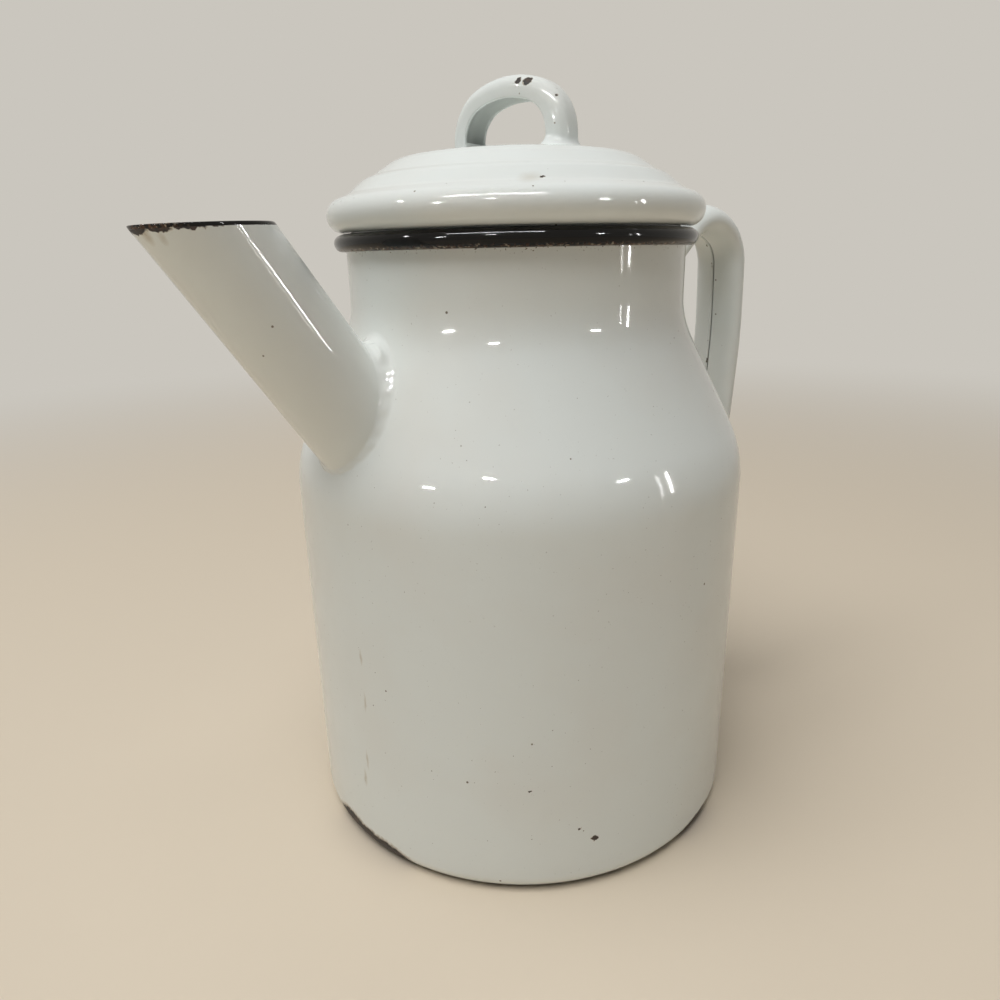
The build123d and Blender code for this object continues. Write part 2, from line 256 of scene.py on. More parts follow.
# Pierces a sheet with round holes on a hexagon of triangular pitch
def strainerTree():
    sizes = {
        "Hole radius": ("Float", 1.5 * mm),
        "Pitch": ("Float", 4.7 * mm),
        "Rings": ("Int", 2),
        "Sides": ("Int", 20),
        "Punch length": ("Float", 12 * mm),
        "Centre": ("Vector", (0, 0, 0)),
        "Tilt": ("Float", 0.0),
    }
    tree, entry = newTree("strainer", sizes)
    size = entry.outputs
    across = addNode(tree, "FunctionNodeIntegerMath", (size["Rings"], 2, 1), operation="MULTIPLY_ADD")
    reach = addNode(tree, "ShaderNodeMath", (size["Rings"], size["Pitch"]), operation="MULTIPLY")
    side = addNode(tree, "ShaderNodeMath", (reach, 2.0), operation="MULTIPLY")
    square = {"Size X": side, "Size Y": side, "Vertices X": across, "Vertices Y": across}
    grid = addNode(tree, "GeometryNodeMeshGrid", square)
    place = addNode(tree, "GeometryNodeInputPosition")
    flat = addNode(tree, "ShaderNodeSeparateXYZ", [place]).outputs
    narrow = addNode(tree, "ShaderNodeMath", (flat["X"], math.sqrt(0.75)), operation="MULTIPLY")
    shift = addNode(tree, "ShaderNodeMath", (flat["X"], 0.5, flat["Y"]), operation="MULTIPLY_ADD")
    corner = addNode(tree, "ShaderNodeCombineXYZ", (narrow, shift))
    lean = {"Geometry": grid.outputs["Mesh"], "Position": corner}
    leaned = addNode(tree, "GeometryNodeSetPosition", lean)
    away = addNode(tree, "ShaderNodeVectorMath", [place], operation="LENGTH").outputs["Value"]
    limit = addNode(tree, "ShaderNodeMath", (reach, 1.01), operation="MULTIPLY")
    outside = addNode(tree, "ShaderNodeMath", (away, limit), operation="GREATER_THAN")
    hexagon = addNode(tree, "GeometryNodeDeleteGeometry", {"Geometry": leaned, "Selection": outside})
    centres = addNode(tree, "GeometryNodeMeshToPoints", {"Mesh": hexagon})
    drill = {"Vertices": size["Sides"], "Radius": size["Hole radius"], "Depth": size["Punch length"]}
    punch = addNode(tree, "GeometryNodeMeshCylinder", drill).outputs["Mesh"]
    punches = addNode(tree, "GeometryNodeInstanceOnPoints", {"Points": centres, "Instance": punch})
    real = addNode(tree, "GeometryNodeRealizeInstances", {"Geometry": punches})
    tilt = addNode(tree, "ShaderNodeCombineXYZ", {"Y": size["Tilt"]})
    aim = {"Geometry": real, "Translation": size["Centre"], "Rotation": tilt}
    cut = {"Mesh 1": size["Geometry"], "Mesh 2": addNode(tree, "GeometryNodeTransform", aim)}
    pierced = addNode(tree, "GeometryNodeMeshBoolean", cut, operation="DIFFERENCE", solver="EXACT")
    return endTree(tree, entry, pierced.outputs["Mesh"])


turnedSheet = turnedTree()
sweptStrap = sweptTree()
strainer = strainerTree()


# A piece turned from an outline of radius and height
def turn(name, outline, finish, steps=300):
    piece = newObject(name, meshOf(name, [(r, 0, z) for r, z in outline]))
    runTree(piece, turnedSheet, Steps=steps, Finish=finish)
    facesOut(piece.data)
    return piece


# A piece swept along a path, its section's x kept along a side
def sweep(name, path, section, side, finish):
    piece = chainOf(name, path)
    loop = chainOf(name + "Section", [(x, y, 0) for x, y in section], closed=True)
    runTree(piece, sweptStrap, Section=loop, Side=side, Finish=finish)
    bpy.data.objects.remove(loop)
    facesOut(piece.data)
    return piece


# Finishes

# Vitreous enamel: opaque white glass fired on steel, with sharp highlights. The dip coat leaves it wavy,
# with orange peel and stray pits.
whiteEnamel = {
    "colour": "#E3E8E5",
    "warm": "#DAD3C8",  # thin or stained coat
    # Size and detail of a noise, the range taken from it and the share or roughness that it becomes
    "clouds": (42.0, 3.0, 0.45, 0.75, 0.0, 0.30),
    "gloss": (26.0, 4.0, 0.35, 0.70, 0.03, 0.08),
    "index": 1.50,
    # Length, detail and depth of the slow waves, the rings left by the spinning tool and the orange peel
    "wave": (31.0, 1.0, 0.06),
    "ripple": (2.6, 2.0, 0.003),
    "peel": (3.4, 2.0, 0.014),
    "rippleDrift": 50.0,  # length round the pot over which a ring changes
    "pitSpacing": 5.2,
    "pitSize": 0.045,  # of the spacing
    "pitEdge": (0.7, 1.1),  # of the size, where a pit fades
    "pitShare": 0.34,  # of the cells that hold one
    "pitDepth": 0.03,
    "speck": (0.55, 0.74, 0.79),  # size, and the range taken from its noise
    "speckRise": 0.2,
    "stainEdge": (0.2, 1.1),  # of a stain's size, soft from near its middle
    "stainShare": 0.38,
}

# Broken coat: the dark ground coat and rusted steel with a pale torn edge, rough and without gloss
brokenCoat = {
    "steel": "#151311",
    "rust": "#3D2B20",
    "rustPatches": (1.3, 3.0, 0.42, 0.66),
    "border": (0.94, 1.04),  # of a chip's size, where the coat ends
    "edge": "#B8AE9C",
    "edgeRange": (1.02, 1.22),
    "edgeShare": 0.85,
    "pit": "#7A7164",
    "stain": "#9C8450",
    "tear": (1.2, 0.9),  # size of the tears along the border and how far they move it
    "stainTear": (3.0, 0.8),
    "depth": 0.12,
    "roughness": 0.55,
}


# Place of a shaded point in millimetres
def placeOf(tree):
    place = addNode(tree, "ShaderNodeTexCoord").outputs["Object"]
    return addNode(tree, "ShaderNodeVectorMath", {0: place, "Scale": 1 / mm}, operation="SCALE")


# Slow waves, level ripples and orange peel as one height in millimetres
def glazeHeight(tree, place, look):
    flat = look["ripple"][0] / look["rippleDrift"]
    level = addNode(tree, "ShaderNodeVectorMath", (place, (flat, flat, 1.0)), operation="MULTIPLY")
    height = 0.0
    for at, layer in ((place, "wave"), (level, "ripple"), (place, "peel")):
        size, detail, depth = look[layer]
        noise = addNode(tree, "ShaderNodeTexNoise", {"Vector": at, "Scale": 1 / size, "Detail": detail})
        height = addNode(tree, "ShaderNodeMath", (noise, depth, height), operation="MULTIPLY_ADD")
    return height


# Patches: a noise of a size and detail, whose range becomes another one
def patches(tree, place, size, detail, *limits):
    noise = addNode(tree, "ShaderNodeTexNoise", {"Vector": place, "Scale": 1 / size, "Detail": detail})
    return addNode(tree, "ShaderNodeMapRange", (noise, *limits))


# Moves places about by noise, so that a border drawn there is torn
def tornPlace(tree, place, grain, amount):
    noise = addNode(tree, "ShaderNodeTexNoise", {"Vector": place, "Scale": 1 / grain, "Detail": 3.0})
    middle = (0.5, 0.5, 0.5)
    centred = addNode(tree, "ShaderNodeVectorMath", (noise.outputs["Color"], middle), operation="SUBTRACT")
    shift = addNode(tree, "ShaderNodeVectorMath", {0: centred, "Scale": 2 * amount}, operation="SCALE")
    return addNode(tree, "ShaderNodeVectorMath", (place, shift), operation="ADD")


# Distance to the nearest of some marks, each a centre and half sizes in millimetres; 1 is the border
def nearestMark(tree, place, marks):
    nearest = 9.0  # far from all of them
    for centre, size in marks:
        gap = addNode(tree, "ShaderNodeVectorMath", (place, centre), operation="SUBTRACT")
        share = addNode(tree, "ShaderNodeVectorMath", (gap, size), operation="DIVIDE")
        away = addNode(tree, "ShaderNodeVectorMath", [share], operation="LENGTH").outputs["Value"]
        nearest = addNode(tree, "ShaderNodeMath", (away, nearest), operation="MINIMUM")
    return nearest


# Small dark pits: a share of the cells of a Voronoi pattern holds one, more of them in a level band
def pitMask(tree, place, height, look, band):
    cells = addNode(tree, "ShaderNodeTexVoronoi", {"Vector": place, "Scale": 1 / look["pitSpacing"]})
    lot = addNode(tree, "ShaderNodeSeparateColor", [cells.outputs["Color"]]).outputs
    sizes = (0.5 * look["pitSize"], 1.5 * look["pitSize"])
    size = addNode(tree, "ShaderNodeMapRange", (lot["Green"], 0.0, 1.0, *sizes))
    across = addNode(tree, "ShaderNodeMath", (cells, size), operation="DIVIDE")
    near = addNode(tree, "ShaderNodeMapRange", (across, *look["pitEdge"], 1.0, 0.0))
    share = look["pitShare"]
    if band:
        above = addNode(tree, "ShaderNodeMath", (height, band[0]), operation="SUBTRACT")
        off = addNode(tree, "ShaderNodeMath", [above], operation="ABSOLUTE")
        share = addNode(tree, "ShaderNodeMapRange", (off, 0.0, band[1], 1.0, share))
    held = addNode(tree, "ShaderNodeMath", (lot["Red"], share), operation="LESS_THAN")
    return addNode(tree, "ShaderNodeMath", (near, held), operation="MULTIPLY")


def newMaterial(name):
    made = bpy.data.materials.new(name)
    made.use_nodes = True
    made.node_tree.nodes.clear()
    return made, made.node_tree


# The gloss of the glass, whose normal follows a height in millimetres
def glossy(tree, colour, roughness, look, height):
    metres = addNode(tree, "ShaderNodeMath", (height, mm), operation="MULTIPLY")
    normal = addNode(tree, "ShaderNodeBump", {"Height": metres, "Distance": 1.0})
    coat = {"Base Color": colour, "Roughness": roughness, "IOR": look["index"], "Normal": normal}
    shader = addNode(tree, "ShaderNodeBsdfPrincipled", coat)
    addNode(tree, "ShaderNodeOutputMaterial", {"Surface": shader})


# White coat with its clouds, pits, stains and chips, dark below a foot line: partly a worn foot, partly
# painted contact shadow. Black specks lie in it from one height to another, and pits are closer in a band, a
# height and half its width.
def enamelWhite(name, look=whiteEnamel, chips=(), stains=(), footWearAndShadeLine=None, specks=None, band=None):
    made, tree = newMaterial(name)
    place = placeOf(tree)
    height = addNode(tree, "ShaderNodeSeparateXYZ", [place]).outputs["Z"]
    torn = tornPlace(tree, place, *brokenCoat["tear"])
    away = nearestMark(tree, torn, chips)
    # Below the foot line the coat turns to bare steel colour: partly a worn foot, partly painted contact
    # shadow
    if footWearAndShadeLine:
        rise = addNode(tree, "ShaderNodeSeparateXYZ", [torn]).outputs["Z"]
        line = addNode(tree, "ShaderNodeMath", (rise, footWearAndShadeLine), operation="DIVIDE")
        away = addNode(tree, "ShaderNodeMath", (away, line), operation="MINIMUM")
    brokenAndFootShade = addNode(tree, "ShaderNodeMapRange", (away, *brokenCoat["border"], 1.0, 0.0))
    pits = pitMask(tree, place, height, look, band)
    if specks:
        size, start, end = look["speck"]
        noise = addNode(tree, "ShaderNodeTexNoise", {"Vector": place, "Scale": 1 / size, "Detail": 2.0})
        rise = addNode(tree, "ShaderNodeMapRange", (height, *specks, 0.0, look["speckRise"]))
        thick = addNode(tree, "ShaderNodeMath", (noise, rise), operation="ADD")
        dots = addNode(tree, "ShaderNodeMapRange", (thick, start, end))
        pits = addNode(tree, "ShaderNodeMath", (pits, dots), operation="MAXIMUM")
    coats = [(patches(tree, place, *look["clouds"]), linear(look["warm"]))]
    if stains:
        spot = nearestMark(tree, tornPlace(tree, place, *brokenCoat["stainTear"]), stains)
        stained = addNode(tree, "ShaderNodeMapRange", (spot, *look["stainEdge"], look["stainShare"], 0.0))
        coats.append((stained, linear(brokenCoat["stain"])))
    edges = (away, *brokenCoat["edgeRange"], brokenCoat["edgeShare"], 0.0)
    rusted = patches(tree, place, *brokenCoat["rustPatches"])
    bare = {0: rusted, 6: linear(brokenCoat["steel"]), 7: linear(brokenCoat["rust"])}
    coats += [
        (pits, linear(brokenCoat["pit"])),
        (addNode(tree, "ShaderNodeMapRange", edges), linear(brokenCoat["edge"])),
        (brokenAndFootShade, addNode(tree, "ShaderNodeMix", bare, data_type="RGBA").outputs[2]),
    ]
    colour = linear(look["colour"])
    for share, over in coats:
        laid = addNode(tree, "ShaderNodeMix", {0: share, 6: colour, 7: over}, data_type="RGBA")
        colour = laid.outputs[2]

    gloss = patches(tree, place, *look["gloss"])
    rough = addNode(tree, "ShaderNodeMix", {0: brokenAndFootShade, 2: gloss, 3: brokenCoat["roughness"]})
    glaze = glazeHeight(tree, place, look)
    for mask, depth in ((pits, look["pitDepth"]), (brokenAndFootShade, brokenCoat["depth"])):
        glaze = addNode(tree, "ShaderNodeMath", (mask, -depth, glaze), operation="MULTIPLY_ADD")
    glossy(tree, colour, rough, look, glaze)
    return made


# The same glass coloured black, on the rim and the mouth of the spout, worn through to the ground coat
# and rust on its edges. Its index is under glass's, to keep it as dark under a pale sky.
blackEnamel = {
    **whiteEnamel,
    "colour": "#0B0A0A",
    "index": 1.33,
    "peel": (3.4, 2.0, 0.012),
    "roughness": (0.06, 0.5),  # whole and worn
    "rust": "#4A3324",
    "ground": "#A89C8A",
    "groundGrains": (0.9, 2.0, 0.56, 0.62),
    "wornGrains": (0.7, 2.0, 0.47, 0.53),
    "wornDepth": 0.05,
    "tear": (1.1, 0.7),
}


# Worn through in grains, more of them from start to end along a direction
def enamelBlack(name, direction, start, end):
    made, tree = newMaterial(name)
    look = blackEnamel
    place = placeOf(tree)
    torn = tornPlace(tree, place, *look["tear"])
    along = addNode(tree, "ShaderNodeVectorMath", (torn, direction), operation="DOT_PRODUCT")
    near = addNode(tree, "ShaderNodeMapRange", (along.outputs["Value"], start, end))
    grains = patches(tree, place, *look["wornGrains"])
    worn = addNode(tree, "ShaderNodeMath", (near, grains), operation="MULTIPLY")
    ground = patches(tree, place, *look["groundGrains"])
    under = {0: ground, 6: linear(look["rust"]), 7: linear(look["ground"])}
    bare = addNode(tree, "ShaderNodeMix", under, data_type="RGBA").outputs[2]
    coat = {0: worn, 6: linear(look["colour"]), 7: bare}
    colour = addNode(tree, "ShaderNodeMix", coat, data_type="RGBA").outputs[2]
    rough = addNode(tree, "ShaderNodeMapRange", (worn, 0.0, 1.0, *look["roughness"]))
    glaze = (worn, -look["wornDepth"], glazeHeight(tree, place, look))
    glossy(tree, colour, rough, look, addNode(tree, "ShaderNodeMath", glaze, operation="MULTIPLY_ADD"))
    return made


# Marks that use has left on each piece, a centre and half sizes in millimetres
bodyWear = {
    "chips": [
        ((-62.0, 2.0, 1.5), (4.5, 9.0, 5.0)),
        ((-62.3, -5.0, 1.5), (4.0, 7.0, 4.2)),
        ((-60.5, -10.0, 1.0), (6.0, 11.5, 4.4)),
        ((-26.8, -57.0, 15.1), (1.0, 1.0, 0.8)),
        ((-40.9, -47.9, 31.5), (0.45, 0.45, 0.4)),
        ((-30.5, -55.1, 18.9), (0.4, 0.4, 0.35)),
        ((12.3, -61.8, 2.0), (9.0, 4.0, 2.2)),
        ((38.0, 50.0, 1.0), (8.0, 8.0, 3.0)),
        ((20.0, 60.5, 40.0), (0.8, 0.8, 0.9)),
    ],
    "stains": [
        ((-62.4, -9.0, 60.5), (2.0, 0.5, 2.4)),
        ((-62.2, -9.3, 47.5), (2.0, 0.45, 3.2)),
        ((-62.5, -8.0, 29.5), (2.0, 0.45, 3.4)),
        ((-62.6, -6.6, 23.0), (2.0, 0.7, 3.0)),
    ],
    "footWearAndShadeLine": 0.8,  # dark below it: partly worn to steel, partly painted contact shadow
    "specks": (156.0, 158.6),  # under the rim
}
spoutWear = {
    "chips": [
        ((-97.0, -1.8, 162.1), (2.3, 3.2, 1.05)),
        ((-94.4, -6.4, 162.1), (2.6, 2.4, 0.75)),
        ((-89.8, -9.8, 162.4), (3.6, 1.8, 0.55)),
        ((-85.5, -11.3, 162.5), (1.2, 1.2, 0.35)),
        ((-97.0, 3.6, 162.1), (2.0, 2.4, 0.9)),
    ],
    "stains": [
        ((-96.0, -3.6, 160.6), (1.2, 1.5, 2.2)),
        ((-94.6, -6.6, 159.5), (1.4, 1.0, 2.4)),
    ],
}
lidWear = {
    "chips": [((-24.5, -35.6, 171.4), (0.55, 0.55, 0.5))],
    "stains": [((-26.7, -34.5, 171.0), (3.2, 2.4, 2.6))],
    "band": (169.2, 2.4),  # pits lie closer here
}
gripWear = {
    "chips": [
        ((-2.1, -7.7, 196.6), (1.5, 1.25, 1.1)),
        ((-2.7, -5.2, 196.9), (1.1, 0.85, 0.8)),
        ((0.2, -15.2, 192.7), (0.45, 0.45, 0.4)),
        ((-1.2, -13.5, 189.2), (0.3, 0.3, 0.35)),
    ],
}
handleWear = {
    "chips": [
        ((91.0, 0.9, 158.5), (0.9, 0.35, 1.2)),
        ((93.0, 0.5, 151.0), (0.8, 0.25, 1.3)),
        ((93.6, 0.3, 118.1), (0.6, 0.3, 1.2)),
    ],
}
weldLook = {**whiteEnamel, "peel": (2.3, 2.0, 0.075), "wave": (7.0, 1.0, 0.2), "pitShare": 0.1}
lidLook = {**whiteEnamel, "stainShare": 0.22, "pitSpacing": 2.2, "pitSize": 0.085, "pitShare": 0.07}
potWhite = enamelWhite("potWhite", **bodyWear)
spoutWhite = enamelWhite("spoutWhite", **spoutWear)
weldWhite = enamelWhite("weldWhite", weldLook)
handleWhite = enamelWhite("handleWhite", **handleWear)
lidWhite = enamelWhite("lidWhite", lidLook, **lidWear)
gripWhite = enamelWhite("gripWhite", {**whiteEnamel, "pitShare": 0.8}, **gripWear)
rimBlack = enamelBlack("rimBlack", direction=(0, 0, -1), start=-158.5, end=-157.7)
lipBlack = enamelBlack("lipBlack", direction=(-1, 0, 0), start=90.0, end=95.0)
print("finishes ready")


# Body, drawn from one blank and pierced behind the spout

potHigh = boxOf("pot_shell")[1]
body = {
    "sheet": 1.2,
    "radius": potHigh[1],
    "footCorner": 4.8,
    "footRing": 6.0,
    "recess": 1.4,
    "recessSlope": 3.0,
    "shoulderZ": 96.8,
    "shoulder": 31.6,
    "neck": 45.1,
    "neckHeight": 14.3,
    "neckBend": 23.8,
    "top": potHigh[2],
}
body["neckZ"] = body["top"] - body["neckHeight"]
bendR = body["neck"] + body["neckBend"]
shoulderR = body["radius"] - body["shoulder"]
acrossR = bendR - shoulderR
acrossZ = body["neckZ"] - body["shoulderZ"]
bothBends = body["shoulder"] + body["neckBend"]
coneTurn = math.atan2(acrossZ, acrossR) - math.acos(bothBends / math.hypot(acrossR, acrossZ))
shoulderTurn = math.degrees(coneTurn)


# Outline from the middle of the base to the top of the neck, set in by a distance
def bodyOutline(inset):
    footR = body["radius"] - body["footCorner"]
    ringR = footR - body["footRing"]
    recessZ = body["recess"] + inset
    points = [(0, recessZ), (ringR - body["recessSlope"], recessZ), (ringR, inset)]
    points += arcPoints((footR, body["footCorner"]), body["footCorner"] - inset, -90, 90, 7)
    shoulder = arcPoints((shoulderR, body["shoulderZ"]), body["shoulder"] - inset, 0, shoulderTurn, 1.5)
    neckBend = body["neckBend"] + inset
    bend = arcPoints((bendR, body["neckZ"]), neckBend, 180 + shoulderTurn, -shoulderTurn, 1.5)
    neckTop = [(body["neck"] - inset, body["top"])]
    for part, run in ((shoulder, 5), (bend, 3), (neckTop, 3)):
        points += [*roundedPath([points[-1], part[0]], [], run)[1:], *part[1:]]
    return points


outerBody = bodyOutline(0)
potShell = turn("potShell", outerBody + bodyOutline(body["sheet"])[::-1], potWhite)

# Spout's axis, where it meets the sloping wall, and the strainer there
spout = {
    "reach": 84.1,
    "mouthZ": 163.3,
    "slope": 55.6,
    "dip": 1.8,
    "mouth": 12.0,
    "root": 12.6,
    "sheet": 1.2,
    "tuck": 0.6,  # how far the tube runs into the wall
    "lip": 0.8,
    "lipRound": 0.5,
    "lipSteps": 6,
    "fillet": (1.9, 3.4),  # under the spout and towards the neck
    "blob": (119.0, 12.5, 1.3),  # enamel on the weld: degrees round the spout, spread and rise
    "lumps": (0.15, 9, 23),  # rise, and how many of each kind
    "steps": 160,
    "rings": 25,
}
coneR = shoulderR + body["shoulder"] * math.cos(coneTurn)
coneZ = body["shoulderZ"] + body["shoulder"] * math.sin(coneTurn)
coneLean = math.tan(coneTurn)
spoutLean = 1 / math.tan(math.radians(spout["slope"]))
rootZ = coneR + coneLean * coneZ - spout["reach"] + spoutLean * spout["mouthZ"]
rootZ /= coneLean + spoutLean
rootR = coneR - coneLean * (rootZ - coneZ)
holes = {"Centre": (-rootR * mm, 0.0, rootZ * mm), "Tilt": -math.radians(90 - shoulderTurn)}
runTree(potShell, strainer, Finish=potWhite, **holes)
facesOut(potShell.data)
dress(potShell, potWhite, "pot", "white_enamel", "pot_shell")
print("body turned and pierced")


# Rim, the neck's edge curled outwards

rim = {"sheet": 1.2, "curl": 2.1, "turn": 290.0}
rimCentre = (body["neck"] - body["sheet"] + rim["curl"], body["top"])
rimOutline = arcPoints(rimCentre, rim["curl"], 180, -rim["turn"], 8)
rimOutline += arcPoints(rimCentre, rim["curl"] - rim["sheet"], 180 - rim["turn"], rim["turn"], 8)
rimBead = turn("rimBead", rimOutline + rimOutline[:1], rimBlack)
dress(rimBead, rimBlack, "pot", "black_enamel", "rim_curl")
print("rim turned")


# Distance and normal from points to a turned surface, whose outline runs with its outside on the right
def turnedDistance(outline):
    chain = np.array(outline, float)
    start, run = chain[:-1], np.diff(chain, axis=0)
    length = (run**2).sum(1)
    outward = np.stack((run[:, 1], -run[:, 0]), 1) / np.sqrt(length)[:, None]

    def measure(points):
        radial = np.hypot(points[:, 0], points[:, 1])
        flat = np.stack((radial, points[:, 2]), 1)
        gap = flat[:, None] - start[None]
        share = np.clip((gap * run).sum(2) / length, 0, 1)
        away = flat[:, None] - (start + share[..., None] * run)
        size = (away**2).sum(2)
        best = size.argmin(1)
        pick = np.arange(len(points))
        sign = np.sign((away[pick, best] * outward[best]).sum(1))
        distance = sign * np.sqrt(size[pick, best])
        direction = away[pick, best] / np.where(distance == 0, 1, distance)[:, None]
        wall = points[:, :2] / radial[:, None]
        return distance, np.column_stack((wall * direction[:, :1], direction[:, 1]))

    return measure


# How far to slide along a direction until a measure is nought
def slideTo(measure, points, along, reach=30.0, halvings=44):
    low = np.full(len(points), -reach)
    high = np.full(len(points), reach)
    for _ in range(halvings):
        middle = (low + high) / 2
        outside = measure(points + along * middle[:, None]) > 0
        high = np.where(outside, middle, high)
        low = np.where(outside, low, middle)
    return (low + high) / 2


# The enamel in a welded corner: a ball rolled round it touches both surfaces, and between the touching
# lines its surface is the coat's. The back is tucked into the two sheets.
def rolledWeld(name, surface, points, along, outward, radius, swell=None, steps=18, tuck=0.5):
    radius = np.broadcast_to(radius, len(points))[:, None]
    rootAt = slideTo(lambda p: surface(p)[0], points, along)[:, None]
    ballAt = slideTo(lambda p: surface(p + outward * radius)[0] - radius[:, 0], points, along)[:, None]
    centre = points + along * ballAt + outward * radius
    wallNormal = surface(centre)[1]
    first, last = -wallNormal, -outward
    angle = np.arccos(np.clip((first * last).sum(1), -1, 1))[:, None]
    shares = np.linspace(0, 1, steps + 1)
    arc = [(np.sin((1 - s) * angle) * first + np.sin(s * angle) * last) / np.sin(angle) for s in shares]
    skin = np.stack([centre + radius * a for a in arc], 1)
    normals = -np.stack(arc, 1)
    if swell is not None:
        rise = swell[:, None] * np.sin(np.pi * shares)[None] ** 2
        skin = skin + normals * rise[..., None]
        across = np.gradient(skin, axis=1)
        around = (np.roll(skin, -1, 0) - np.roll(skin, 1, 0)) / 2
        swollen = unit(np.cross(around, across))
        swollen *= np.sign((swollen * normals).sum(2))[..., None]
        swollen[:, 0], swollen[:, -1] = wallNormal, outward
        normals = swollen
    corner = points + along * rootAt - (outward + wallNormal) * tuck
    back = np.stack((skin[:, -1] - outward * tuck, corner, skin[:, 0] - wallNormal * tuck), 1)
    rings = np.concatenate((skin, back), 1)
    tucked = -np.stack((outward, outward + wallNormal, wallNormal), 1)
    normals = np.concatenate((normals, tucked), 1).reshape(-1, 3)
    made = ringPiece(name, rings, merge=0)
    made.data.normals_split_custom_set_from_vertices(normals.tolist())
    return made


potSurface = turnedDistance(outerBody)


# Spout, a rolled cone whose mouth is cut nearly level

slope = math.radians(spout["slope"])
dip = math.radians(spout["dip"])
mouthPlace = np.array((-spout["reach"], 0, spout["mouthZ"]))
spoutAxis = np.array((-math.cos(slope), 0, math.sin(slope)))
spoutTop = np.array((math.sin(slope), 0, math.cos(slope)))  # the side towards the neck
mouthNormal = np.array((-math.sin(dip), 0, math.cos(dip)))
spoutLength = (spout["mouthZ"] - rootZ) / math.sin(slope)
taper = (spout["root"] - spout["mouth"]) / spoutLength
roundSpout = np.linspace(0, math.tau, spout["steps"], endpoint=False)
spoutOut = np.cos(roundSpout)[:, None] * np.array((0, 1, 0)) + np.sin(roundSpout)[:, None] * spoutTop


# Points on the cone, set in by a distance and a length along from the mouth's centre
def conePoints(inset, length):
    length = np.broadcast_to(length, len(spoutOut))[:, None]
    return mouthPlace + spoutAxis * length + spoutOut * (spout["mouth"] - inset - taper * length)


coneAlong = spoutAxis - spoutOut * taper
coneNormal = unit(spoutOut + spoutAxis * taper)


# Where the cone's lines end on the mouth's plane, or a height below it
def coneAtMouth(inset, below):
    start = conePoints(inset, 0)
    share = (-below - (start - mouthPlace) @ mouthNormal) / (coneAlong @ mouthNormal)
    return start + coneAlong * share[:, None]


# Where the cone's lines end in the pot's wall, at a depth under its surface
def coneAtPot(inset, depth):
    start = conePoints(inset, -spoutLength)
    return start + coneAlong * slideTo(lambda p: potSurface(p)[0] + depth, start, coneAlong)[:, None]


tubeEnds = [coneAtPot(0, spout["tuck"]), coneAtMouth(0, spout["lip"])]
tubeEnds += [coneAtMouth(spout["sheet"], spout["lip"]), coneAtPot(spout["sheet"], spout["tuck"])]
tubeSides = [np.linspace(*tubeEnds[:2], spout["rings"]), np.linspace(*tubeEnds[2:], spout["rings"])]
spoutTube = ringPiece("spoutTube", np.concatenate(tubeSides).swapaxes(0, 1))
dress(spoutTube, spoutWhite, "pot", "white_enamel", "spout_tube")

# Its black lip, both edges rounded
lipIn = unit(coneAtMouth(spout["sheet"], 0) - coneAtMouth(0, 0))
lipSides = [coneAtMouth(0, spout["lip"])]
for inset, first, last in ((0, -coneAlong, lipIn), (spout["sheet"], -lipIn, -coneAlong)):
    for share in np.linspace(0, 1, spout["lipSteps"]):
        turned = first * (1 - share) ** 2 + last * share**2
        lipSides.append(coneAtMouth(inset, 0) + turned * spout["lipRound"])
lipSides.append(coneAtMouth(spout["sheet"], spout["lip"]))
spoutLip = ringPiece("spoutLip", np.stack(lipSides, 1))
dress(spoutLip, lipBlack, "pot", "black_enamel", "spout_lip")

# The weld is swollen: a blob of enamel on its top, low lumps elsewhere
blobAt, blobSpread, blobRise = spout["blob"]
lumpRise, few, many = spout["lumps"]
offBlob = (np.degrees(roundSpout) - blobAt) / blobSpread
lumps = 1 + 0.5 * np.sin(few * roundSpout + 1.0) + 0.5 * np.sin(many * roundSpout + 2.0)
weldSwell = blobRise * np.exp(-(offBlob**2)) + lumpRise * lumps
weldRoot = conePoints(0, -spoutLength)
fillets = np.interp(np.sin(roundSpout), (-1, 1), spout["fillet"])
spoutWeld = rolledWeld("spoutWeld", potSurface, weldRoot, coneAlong, coneNormal, fillets, weldSwell)
dress(spoutWeld, weldWhite, "pot", "white_enamel", "spout_joint")
print("spout rolled and welded")


# Handle, a strap rolled into a flattened tube with its seam inside

handle = {
    "width": 18.0,
    "outerRise": 5.6,
    "innerRise": 4.2,
    "sheet": 1.0,
    "seam": 0.35,
    "sectionSteps": (72, 60),  # outside and inside
    "reach": 98.8,
    "crestZ": 168.8,
    "topZ": 147.5,
    "neckRun": 13.0,
    "neckRise": 3.0,
    "crestSetback": 18.8,
    "shoulderSetback": 1.5,
    "shoulderDrop": 9.8,
    "footZ": 74.3,
    "gripEnd": 53.7,
    "heelSetback": 3.5,
    "heelRise": 17.7,
    "footRise": 2.2,
    "bends": (20, 16, 14.5, 150, 22, 22),
    "rootDepth": 6.0,
    "fillet": 2.6,
    "weldSteps": 120,
}
reach, crestZ, footZ = handle["reach"], handle["crestZ"], handle["footZ"]
handleCorners = [
    (body["neck"] - handle["rootDepth"], handle["topZ"]),
    (body["neck"] + handle["neckRun"], handle["topZ"] + handle["neckRise"]),
    (reach - handle["crestSetback"], crestZ),
    (reach - handle["shoulderSetback"], crestZ - handle["shoulderDrop"]),
    (reach, footZ + handle["gripEnd"]),
    (reach - handle["heelSetback"], footZ + handle["heelRise"]),
    (reach - handle["crestSetback"], footZ + handle["footRise"]),
    (body["radius"] - handle["rootDepth"], footZ),
]


# Moves the end of the path out to a distance from the axis, along its own run
def cutEnd(end, nextCorner, radial):
    end, nextCorner = np.array(end, float), np.array(nextCorner, float)
    return end + (nextCorner - end) * (radial - end[0]) / (nextCorner[0] - end[0])


midWall = body["sheet"] / 2
handleCorners[0] = cutEnd(*handleCorners[:2], body["neck"] - midWall)
handleCorners[-1] = cutEnd(handleCorners[-1], handleCorners[-2], body["radius"] - midWall)
handlePath = roundedPath(handleCorners, handle["bends"], run=4.0, step=3.0)


